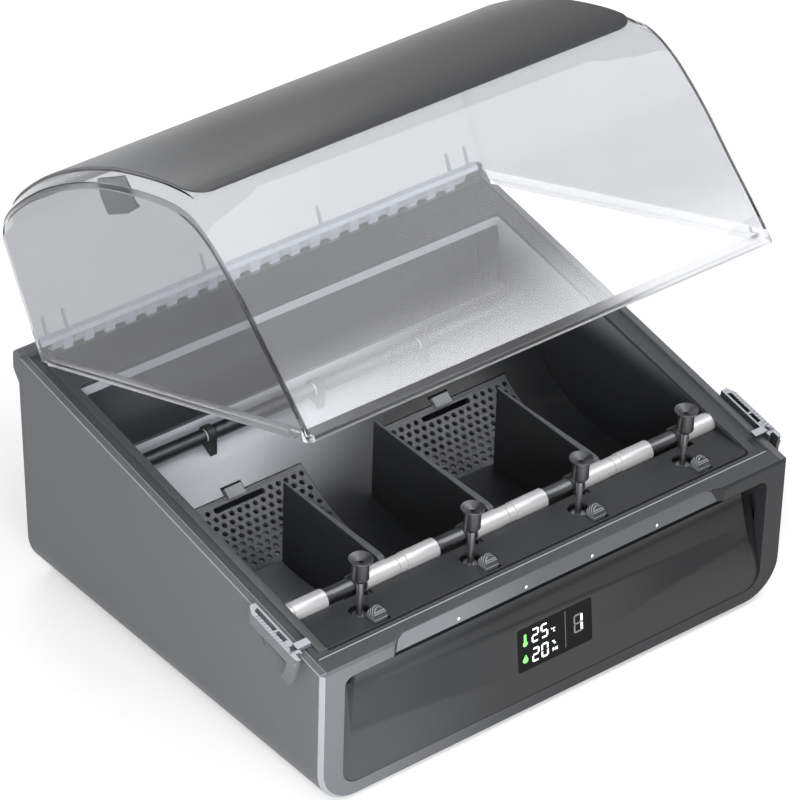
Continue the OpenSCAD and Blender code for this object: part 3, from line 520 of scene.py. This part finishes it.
def above_rim(point):
    """Height of a point over the rim's sloping plane."""
    return (point.z - FRONT_H) * cos(SLOPE) - (point.y + HALF_D) * sin(SLOPE)


def tub_paint(face):
    """The ledge round the tub is darker than the trough."""
    return face.normal.z > 0.7 and face.calc_center_median().z > TUB_LEDGE


def panel_paint(face):
    """The backing seen through the gap over the front panel is painted black as shade."""
    point = face.calc_center_median()
    return point.y > PANEL_BACKING and point.z > PANEL_GAP


def frame_paint(face):
    """Painted shade on the scoop ends, painted highlight on the outer chamfers, and the scoop in its own
    lighter grey.
    """
    aside = abs(face.calc_center_median().x)
    if abs(face.normal.x) > 0.15 and face.normal.y < -0.3 and SCOOP_ENDS[0] < aside < SCOOP_ENDS[1]:
        return 1
    if -0.75 < face.normal.y < -0.65:
        return 2
    return 3 if face.normal.y < -0.9 and face.normal.z > 0.25 else 0


def cover_paint(face):
    """The clip on top of a cover: grey above, white in front."""
    height, area = face.calc_center_median().z, face.calc_area() / MM ** 2
    if height > CLIP_TOP and 25 < area < 60:
        return 1
    return 2 if face.normal.y < -0.7 and face.normal.z < -0.4 and 20 < area < 30 else 0


def knuckle_paint(face):
    """The hinge knuckles and gussets that stand over the rim are frosted."""
    return above_rim(face.calc_center_median()) > RIM_SKIN


softened("rear_panel", 0.8)
softened("deck", 0.4)
softened("inlet_funnels", 0.3)
softened("tub", 0.5, finishes=["cover"], paint=tub_paint)
# The housing's eased edges carry a painted highlight that fades to the right.
softened("housing_shell", 0.5, finishes=["edge"], edge=1)
softened("front_panel", 0.4, finishes=["shade"], paint=panel_paint)
# Painted shade on the scoop ends; painted highlight on the chamfers and eased edges.
softened("front_frame", 0.5, finishes=["shade", "edge", "strip"], edge=2, paint=frame_paint)
for name in ("cover_left", "cover_right"):
    softened(name, 0.2, finishes=["clip_top", "clip_front"], paint=cover_paint)
# Upward faces of the dividers carry painted light.
for name in ("divider_left", "divider_centre", "divider_right"):
    softened(name, 0.8, finishes=["divider_top"], paint=lambda face: face.normal.z > 0.3)
# Upward faces of the catches carry a painted highlight.
for name in ("catch_left", "catch_right"):
    softened(name, 0.5, finishes=["catch_top"], paint=lambda face: face.normal.z > 0.7)
# The rim frame's eased edges carry a painted highlight.
softened("rim_frame", 0.4, finishes=["hinge", "rim_painted_highlight"], edge=2, paint=knuckle_paint)
softened("hinge_bar", 0.3)


# ---- Display, marks and a painted highlight bead ----

PANEL_TILT = atan(8 / 72.2)
PANEL_FOOT = Matrix.Translation((0, -0.1517, 0.013))
PANEL = PANEL_FOOT @ Matrix.Rotation(-PANEL_TILT, 4, "X") @ Matrix.Scale(MM, 4)
SCREEN = PANEL @ Matrix.Translation((0, 0, 34.5))
SEGMENTS = {"0": "abcdef", "1": "bc", "2": "abged", "5": "afgcd", "8": "abcdefg"}


def slab(shape, frame_matrix, centre, size):
    """A box, centred and sized in the axes of the matrix."""
    place = frame_matrix @ Matrix.Translation(centre)
    bmesh.ops.create_cube(shape, size=1.0, matrix=place @ Matrix.Diagonal((*size, 1)))


def plate(shape, corners, through):
    """A flat outline carried through by a vector, as a closed plate."""
    face = shape.faces.new([shape.verts.new(corner) for corner in corners])
    grown = bmesh.ops.extrude_face_region(shape, geom=[face])["geom"]
    far_side = [g for g in grown if isinstance(g, bmesh.types.BMVert)]
    bmesh.ops.translate(shape, verts=far_side, vec=through)
    bmesh.ops.recalc_face_normals(shape, faces=shape.faces)


def segment_digit(shape, lit_parts, x, z, w, h, t):
    """Bars of a seven-segment digit, as slabs on the screen."""
    side, rise = w / 2 - t / 2, h / 4 - t / 8
    for part in lit_parts:
        place = {
            "a": (0, h / 2 - t / 2), "d": (0, t / 2 - h / 2), "g": (0, 0),
            "b": (side, rise), "c": (side, -rise), "e": (-side, -rise), "f": (-side, rise),
        }[part]
        size = (w - 1.5 * t, t) if part in "adg" else (t, h / 2 - t)
        slab(shape, SCREEN, (x + place[0], -0.02, z + place[1]), (size[0], 0.16, size[1]))


def disc(shape, x, z, radius, depth=0.16):
    bmesh.ops.create_cone(
        shape, cap_ends=True, segments=24, radius1=radius, radius2=radius, depth=depth,
        matrix=SCREEN @ Matrix.Translation((x, -0.02, z)) @ Matrix.Rotation(radians(90), 4, "X"),
    )


digits = bmesh.new()
for text, z in (("25", 7.1), ("20", -6.6)):
    for k, figure in enumerate(text):
        segment_digit(digits, SEGMENTS[figure], -15.3 + 7.2 * k, z, 5.7, 10, 1.25)
segment_digit(digits, SEGMENTS["1"], 18.5, 1, 7.1, 13, 1.7)
disc(digits, -2.4, 5.9, 0.55)
for x, z, w, h in (
    (-0.4, 5.8, 1.5, 0.6), (-0.9, 4.7, 0.6, 2.4), (-0.4, 3.5, 1.5, 0.6),
    (-1.9, -3.2, 0.9, 0.9), (0.1, -5.0, 0.9, 0.9), (-0.9, -4.1, 0.6, 2.6),
    (-1.9, -9.2, 0.55, 2.4), (-1.2, -8.3, 0.9, 0.55), (-0.9, -9.4, 0.5, 0.9),
    (0.3, -9.2, 0.55, 2.4), (1.5, -9.2, 0.55, 2.4), (0.9, -9.2, 0.9, 0.5),
):
    slab(digits, SCREEN, (x, -0.02, z), (w, 0.16, h))
new_piece("display_digits", digits, FINISH["digit"], "housing", ease=0.12)

ghosts = bmesh.new()
segment_digit(ghosts, "adefg", 18.5, 1, 7.1, 13, 1.1)
slab(ghosts, SCREEN, (8.3, 0, 0.7), (0.35, 0.1, 25.7))
new_piece("display_ghosts", ghosts, FINISH["ghost"], "housing", ease=0.1)

signs = bmesh.new()
disc(signs, -23.2, 3.8, 1.9)
slab(signs, SCREEN, (-23.2, -0.02, 7.2), (2.0, 0.16, 5.0))
disc(signs, -23.2, 9.7, 1.0)
disc(signs, -23.4, -7.7, 2.1)
drop_tip = ((-25.3, -0.1, -6.8), (-21.5, -0.1, -6.8), (-23, -0.1, -3.7))
plate(signs, [SCREEN @ Vector(corner) for corner in drop_tip], SCREEN.to_3x3() @ Vector((0, 0.16, 0)))
new_piece("display_signs", signs, FINISH["sign"], "housing", ease=0.1)

# The engraved arrows are drawn as dark slabs: painted shade in their grooves.
WALL = Matrix.Translation((-0.1825, -HALF_D, 0)) @ Matrix.Scale(MM, 4)
marks = bmesh.new()
for ends in (
    ((55.3, 101.9), (32.0, 96.0)), ((32.0, 96.0), (35.4, 101.2)),
    ((34.6, 92.8), (57.4, 98.4)), ((57.4, 98.4), (54.6, 93.6)),
):
    a, b = (Vector((0, *end)) for end in ends)
    turn = Matrix.Rotation(atan2((b - a).z, (b - a).y), 4, "X")
    middle = WALL @ Matrix.Translation((a + b) / 2) @ turn
    slab(marks, middle, (0, 0, 0), (0.12, (b - a).length + 0.4, 0.55))
new_piece("slide_marks", marks, FINISH["engraved"], "housing", ease=0.04)

RIM = Matrix.Translation((0, -HALF_D, FRONT_H)) @ Matrix.Rotation(SLOPE, 4, "X") @ Matrix.Scale(MM, 4)
# A thin light grey bead along the rim's front edge: a painted highlight.
highlight_bead = bmesh.new()
slab(highlight_bead, RIM, (0, 13.25, -0.25), (350, 0.9, 0.64))
new_piece("rim_front_painted_highlight_bead", highlight_bead, FINISH["highlight_bead"], "housing", ease=0.28)


# ---- Hood ----

OPEN = Matrix.Translation(HINGE) @ Matrix.Rotation(-OPENING, 4, "X") @ Matrix.Scale(MM, 4)
HOOD_HALF = 176.8
CROWN_HALF = 166.8
CROWN_RISE = 6.7
HOOD_WALL = 2.4
CORNER = 2.3
FLANGE = 5.2
FRONT_FLANGE = 3
# Nothing behind this line, in millimetres from the hinge, has a flange or a frosted foot
REAR_WALL = -9
FILM_DEPTH = 2.5
PANEL_LIFT = 1.3
# The numbers of the hood's finishes, after plain clear
SMOKED, FROSTED, LINED = 1, 2, 3
# The hood's side as y and z, in millimetres from the hinge with the hood shut
SIDE_CURVE = [
    (-8, -12), (-8, 10), (-8.6, 68), (-11, 77), (-16, 83), (-25, 88), (-38, 92.4),
    (-55, 96.6), (-74, 99.8), (-96, 101.6), (-122, 101.8), (-148, 99.8), (-172, 95.6),
    (-195, 90.2), (-211, 85.2), (-224, 79.4), (-234, 71.4), (-243, 59.6), (-251, 43),
    (-259, 22), (-267, -5), (-276, -33), (-283, -58), (-283.5, -66),
]


def smooth_run(points, steps):
    """The same curve through the same points, with more of them between."""
    run = []
    for i in range(len(points) - 1):
        a, b, c, d = (Vector(points[min(max(k, 0), len(points) - 1)]) for k in (i - 1, i, i + 1, i + 2))
        for k in range(steps):
            t = k / steps
            run.append(0.5 * (
                2 * b + (c - a) * t
                + (2 * a - 5 * b + 4 * c - d) * t * t + (3 * b - a - 3 * c + d) * t ** 3
            ))
    return run + [Vector(points[-1])]


def eased(low, high, value):
    """0 below low, 1 above high, and a soft step between them."""
    t = min(1, max(0, (value - low) / (high - low)))
    return t * t * (3 - 2 * t)


SIDE_RUN = smooth_run(SIDE_CURVE, 3)
FOOT_NORMAL = Vector((0, -sin(SLOPE), cos(SLOPE)))
ALONG = Vector((0, cos(SLOPE), sin(SLOPE)))
RIM_START = Vector((0, -298, -62.265))
FOOT_POINT = RIM_START + FOOT_NORMAL * -1.15


def face_outwards(shape):
    """Turns every face the same way, with the topmost face upwards."""
    bmesh.ops.recalc_face_normals(shape, faces=shape.faces)
    if max(shape.faces, key=lambda f: f.calc_center_median().z).normal.z < 0:
        bmesh.ops.reverse_faces(shape, faces=shape.faces)


def crown_rise(y, z):
    """How far the crown stands over the side: fully on top, not at all in front and at the rear."""
    low, high = (45, 92) if y > -100 else (30, 80)
    return CROWN_RISE * (eased(low, high, z) * (1 if y > -200 else eased(-246, -224, y)))


def drawn_across(run, stations):
    """A sheet: a side curve drawn across, from one station to the next."""
    shape = bmesh.new()
    row = [shape.verts.new((stations[0], p[0], p[1])) for p in run]
    edges = [shape.edges.new(pair) for pair in zip(row, row[1:])]
    for before, station in zip(stations, stations[1:]):
        grown = bmesh.ops.extrude_edge_only(shape, edges=edges)["geom"]
        verts = {g for g in grown if isinstance(g, bmesh.types.BMVert)}
        edges = [g for g in grown if isinstance(g, bmesh.types.BMEdge) and set(g.verts) <= verts]
        bmesh.ops.translate(shape, verts=list(verts), vec=(station - before, 0, 0))
    return shape


def hood_skin():
    """One clear skin: the side curve drawn across, raised over the crown, closed at both sides."""
    shape = drawn_across(SIDE_RUN, (-HOOD_HALF, -CROWN_HALF, -120, 0, 120, CROWN_HALF, HOOD_HALF))
    for vert in shape.verts:
        if abs(vert.co.x) < HOOD_HALF - 1:
            vert.co.z += crown_rise(vert.co.y, vert.co.z)
    for side in (-1, 1):
        wall = side * HOOD_HALF
        rim = [
            e for e in shape.edges
            if e.is_boundary and all(abs(v.co.x - wall) < 0.01 for v in e.verts)
        ]
        verts = {v for e in rim for v in e.verts}
        ends = [v for v in verts if sum(e in rim for e in v.link_edges) == 1]
        face = bmesh.ops.contextual_create(shape, geom=rim + [shape.edges.new(ends)])["faces"][0]
        face.material_index = SMOKED
    face_outwards(shape)
    return shape


def foot_flange(shape):
    """Cuts the skin along the rim's slope and turns a narrow frosted flange inwards.

    The rear wall is smoked, as the sides are.
    """
    cut = bmesh.ops.bisect_plane(
        shape, geom=shape.verts[:] + shape.edges[:] + shape.faces[:],
        plane_co=FOOT_POINT, plane_no=FOOT_NORMAL, clear_inner=True,
    )["geom_cut"]
    foot = [
        g for g in cut if isinstance(g, bmesh.types.BMEdge)
        and sum(v.co.y for v in g.verts) / 2 < REAR_WALL
    ]
    front = min(v.co.y for e in foot for v in e.verts)
    grown = bmesh.ops.extrude_edge_only(shape, edges=foot)["geom"]
    for vert in (g for g in grown if isinstance(g, bmesh.types.BMVert)):
        vert.co.x = min(HOOD_HALF - FLANGE, max(FLANGE - HOOD_HALF, vert.co.x))
        if vert.co.y < front + 0.5:
            vert.co += ALONG * FRONT_FLANGE
    for face in shape.faces:
        if face.normal.y > 0.6 and abs(face.normal.x) < 0.1:
            face.material_index = SMOKED
        if abs(face.calc_center_median().dot(FOOT_NORMAL) - FOOT_POINT.dot(FOOT_NORMAL)) < 0.05:
            face.material_index = FROSTED


def on_rim(point):
    """A point of the shut hood as distance along the rim from the front and height over it."""
    away = point - RIM_START
    return away.dot(ALONG), away.dot(FOOT_NORMAL)


def cut_where(shape, faces, height, along):
    """Splits faces along a line at one height over the rim, or at one distance along it."""
    across, reach = (ALONG, along) if height is None else (FOOT_NORMAL, height)
    geom = list({part for face in faces for part in (face, *face.edges, *face.verts)})
    bmesh.ops.bisect_plane(shape, geom=geom, plane_co=RIM_START + across * reach, plane_no=across)


def near_side(face, reach):
    """Whether a face of the shut hood lies within the reach of either side."""
    return abs(face.calc_center_median().x) > HOOD_HALF - reach


def hook_notches(shape):
    """L-shaped openings near the front of both sides, for the hooks of the catches."""
    start, upright, end, sill, head = 21.5, 30, 35, 1.7, 5.5
    for height, along in ((None, start), (None, upright), (None, end), (sill, None), (head, None)):
        sides = [f for f in shape.faces if near_side(f, 5) and f.material_index != LINED]
        cut_where(shape, sides, height, along)
    gone = []
    for face in shape.faces:
        along, height = on_rim(face.calc_center_median())
        if near_side(face, 5) and height < head and start < along < (end if height > sill else upright):
            gone.append(face)
    bmesh.ops.delete(shape, geom=gone, context="FACES")


def clear_hinge(shape):
    """The rear of the hood stops just above the rim, over the hinge webs."""
    start, height = 287, 0.35

    def rear():
        return [f for f in shape.faces if on_rim(f.calc_center_median())[0] > start]

    cut_where(shape, [f for f in shape.faces if near_side(f, 6)], None, start)
    cut_where(shape, rear(), height, None)
    low = [f for f in rear() if on_rim(f.calc_center_median())[1] < height]
    bmesh.ops.delete(shape, geom=low, context="FACES")


def frosted_foot(shape):
    """The lowest strip of the wall is frosted, like the flange below it."""
    height = 6.5
    cut_where(shape, shape.faces[:], height, None)
    for face in shape.faces:
        middle = face.calc_center_median()
        if face.material_index <= SMOKED and on_rim(middle)[1] < height and middle.y < REAR_WALL:
            face.material_index = FROSTED


def make_hood():
    """The hood standing open, and just inside it the glowing film of haze and painted reflection."""
    shape = hood_skin()
    foot_flange(shape)
    face_outwards(shape)
    corners = [
        e for e in shape.edges
        if len(e.link_faces) == 2 and not any(f.material_index == FROSTED for f in e.link_faces)
        and sorted(abs(f.normal.x) > 0.9 for f in e.link_faces) == [False, True]
    ]
    # The corner bevels take the darker tint of painted shade.
    for face in bmesh.ops.bevel(
        shape, geom=corners, offset=CORNER, offset_type="OFFSET",
        segments=1, profile=0.5, affect="EDGES",
    )["faces"]:
        face.material_index = LINED
    hook_notches(shape)
    clear_hinge(shape)
    frosted_foot(shape)
    bmesh.ops.transform(shape, matrix=OPEN, verts=shape.verts)
    film = shape.copy()
    film.normal_update()
    for vert, step in [(v, v.normal * -FILM_DEPTH * MM) for v in film.verts]:
        vert.co += step
    bmesh.ops.delete(film, geom=[f for f in film.faces if f.material_index > SMOKED], context="FACES")
    new_piece("hood_inner_haze_painted_reflection", film, [FINISH["film"], FINISH["film_side"]], "hood", smooth=24)
    finishes = [FINISH[name] for name in ("clear", "clear_side", "clear_edge", "clear_line")]
    piece = new_piece("hood_shell", shape, finishes, "hood", smooth=24)
    wall = thickened(piece, HOOD_WALL)
    wall.use_even_offset = True
    wall.material_offset_rim = 0
    # The eased edges take the darker tint of painted shade.
    eased_edges(piece, width=0.5, segments=2, angle=40).material = LINED
    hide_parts("hood")


def top_panel():
    """The dark panel over the crown, with round front corners and a tab through the skin."""
    corner, front, steps = 14, -227, 8
    run = [p for p in SIDE_RUN if front < p[0] < -15 and p[1] > 75]
    run.append(Vector((front, 78.0)))
    fine = [a.lerp(b, k / 3) for a, b in zip(run, run[1:]) for k in range(3)] + [run[-1]]
    shape = drawn_across(fine, [CROWN_HALF * k / steps for k in range(-steps, steps + 1)])
    for vert in shape.verts:
        over = max(0, front + corner - vert.co.y)
        vert.co.x *= 1 - (corner - (corner ** 2 - over ** 2) ** 0.5) / CROWN_HALF
        vert.co.z += crown_rise(vert.co.y, vert.co.z) + PANEL_LIFT
    face_outwards(shape)
    bmesh.ops.transform(shape, matrix=OPEN, verts=shape.verts)
    panel = new_piece("hood_cover_panel", shape, FINISH["top_panel"], "hood", smooth=40)
    thickened(panel, 1.2)
    eased_edges(panel, width=0.35, segments=2, angle=40)
    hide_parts("hood_top_panel")

    tab = bmesh.new()
    outline = [
        (-101, 98), (-100, 86.5), (-102.1, 76.2), (-123.2, 75.7),
        (-138.7, 79.2), (-135.2, 82.2), (-131, 98),
    ]
    plate(tab, [(-152.8, y, z) for y, z in outline], (3, 0, 0))
    bmesh.ops.transform(tab, matrix=OPEN, verts=tab.verts)
    new_piece("hood_panel_tab", tab, FINISH["top_panel"], "hood", ease=1.2, segments=3)


make_hood()
top_panel()


# ---- Floor, light and camera ----

def studio_white(name, colour, seen):
    """Matt white that glows a little where the camera sees it: straight, mirrored or through the hood."""
    material, tree, shader = new_material(name)
    place = object_place(tree)
    mottle = add_node(tree, "ShaderNodeTexNoise", {"Vector": place, "Scale": 3.0})
    tint = blended(tree, mottle.outputs["Fac"], colour, scaled(colour, 1.01))
    tree.links.new(tint, shader.inputs["Base Color"])
    shader.inputs["Roughness"].default_value = 0.9
    rays = add_node(tree, "ShaderNodeLightPath")
    seen_rays = add_node(tree, "ShaderNodeMath", {
        0: rays.outputs["Is Camera Ray"], 1: rays.outputs["Is Glossy Ray"],
    }, operation="MAXIMUM")
    all_rays = add_node(tree, "ShaderNodeMath", {
        0: seen_rays.outputs[0], 1: rays.outputs["Is Transmission Ray"],
    }, operation="MAXIMUM")
    lift = add_node(tree, "ShaderNodeMath", {0: all_rays.outputs[0], 1: seen}, operation="MULTIPLY")
    tree.links.new(lift.outputs[0], shader.inputs["Emission Strength"])
    return material


floor_mesh = bpy.data.meshes.new("floor")
floor_shape = bmesh.new()
bmesh.ops.create_grid(floor_shape, x_segments=2, y_segments=2, size=6.0)
floor_shape.to_mesh(floor_mesh)
floor_shape.free()
floor = bpy.data.objects.new("floor", floor_mesh)
bpy.context.scene.collection.objects.link(floor)
floor_mesh.materials.append(studio_white("floor_white", (0.9, 0.9, 0.9, 1), 0.3))

# The backdrop is full white to the camera and dimmer as a light
world = bpy.data.worlds.new("studio")
bpy.context.scene.world = world
world.use_nodes = True
tree = world.node_tree
rays = add_node(tree, "ShaderNodeLightPath")
direct = add_node(tree, "ShaderNodeMath", {
    0: rays.outputs["Is Camera Ray"], 1: rays.outputs["Is Transmission Ray"],
}, operation="MAXIMUM")
level = add_node(tree, "ShaderNodeMapRange", {"Value": direct.outputs[0], "To Min": 0.45, "To Max": 1.0})
tree.links.new(level.outputs[0], tree.nodes["Background"].inputs["Strength"])
tree.nodes["Background"].inputs["Color"].default_value = (1, 1, 1, 1)


def softbox(name, place, aim, size, power):
    lamp = bpy.data.lights.new(name, "AREA")
    lamp.shape = "RECTANGLE"
    lamp.size, lamp.size_y = size
    lamp.energy = power
    holder = bpy.data.objects.new(name, lamp)
    holder.location = place
    holder.rotation_euler = (Vector(aim) - Vector(place)).to_track_quat("-Z", "Y").to_euler()
    bpy.context.scene.collection.objects.link(holder)


softbox("key", (-1.6, -0.6, 1.8), (0, 0, 0.1), (1.2, 1.2), 13)
softbox("overhead", (0.9, -0.6, 1.7), (0, 0.05, 0.1), (1.2, 1.2), 13)
softbox("near_left", (-0.5, -0.72, 0.36), (-0.14, -0.15, 0.05), (0.3, 0.3), 4)
softbox("back_card", (0.3, 1.0, 0.85), (-0.1, 0.1, 0.3), (0.5, 0.7), 1.8)

AZIMUTH, ELEVATION, ROLL = radians(-39.7), radians(34.77), radians(1.76)
AIM = Vector((0.02218, 0.03212, 0.11076))
DISTANCE = 2.97033
back = Vector((sin(AZIMUTH) * cos(ELEVATION), -cos(AZIMUTH) * cos(ELEVATION), sin(ELEVATION)))
level_right = (-back).cross(Vector((0, 0, 1))).normalized()
level_up = level_right.cross(-back)
right = level_right * cos(ROLL) + level_up * sin(ROLL)
up = level_up * cos(ROLL) - level_right * sin(ROLL)
camera_data = bpy.data.cameras.new("camera")
camera_data.sensor_width = 36.0
camera_data.lens = 214.64
camera_data.clip_end = 50.0
camera = bpy.data.objects.new("camera", camera_data)
bpy.context.scene.collection.objects.link(camera)
pose = Matrix((right, up, back)).transposed().to_4x4()
pose.translation = AIM + back * DISTANCE
camera.matrix_world = pose
bpy.context.scene.camera = camera
bpy.context.scene.view_settings.view_transform = "Standard"
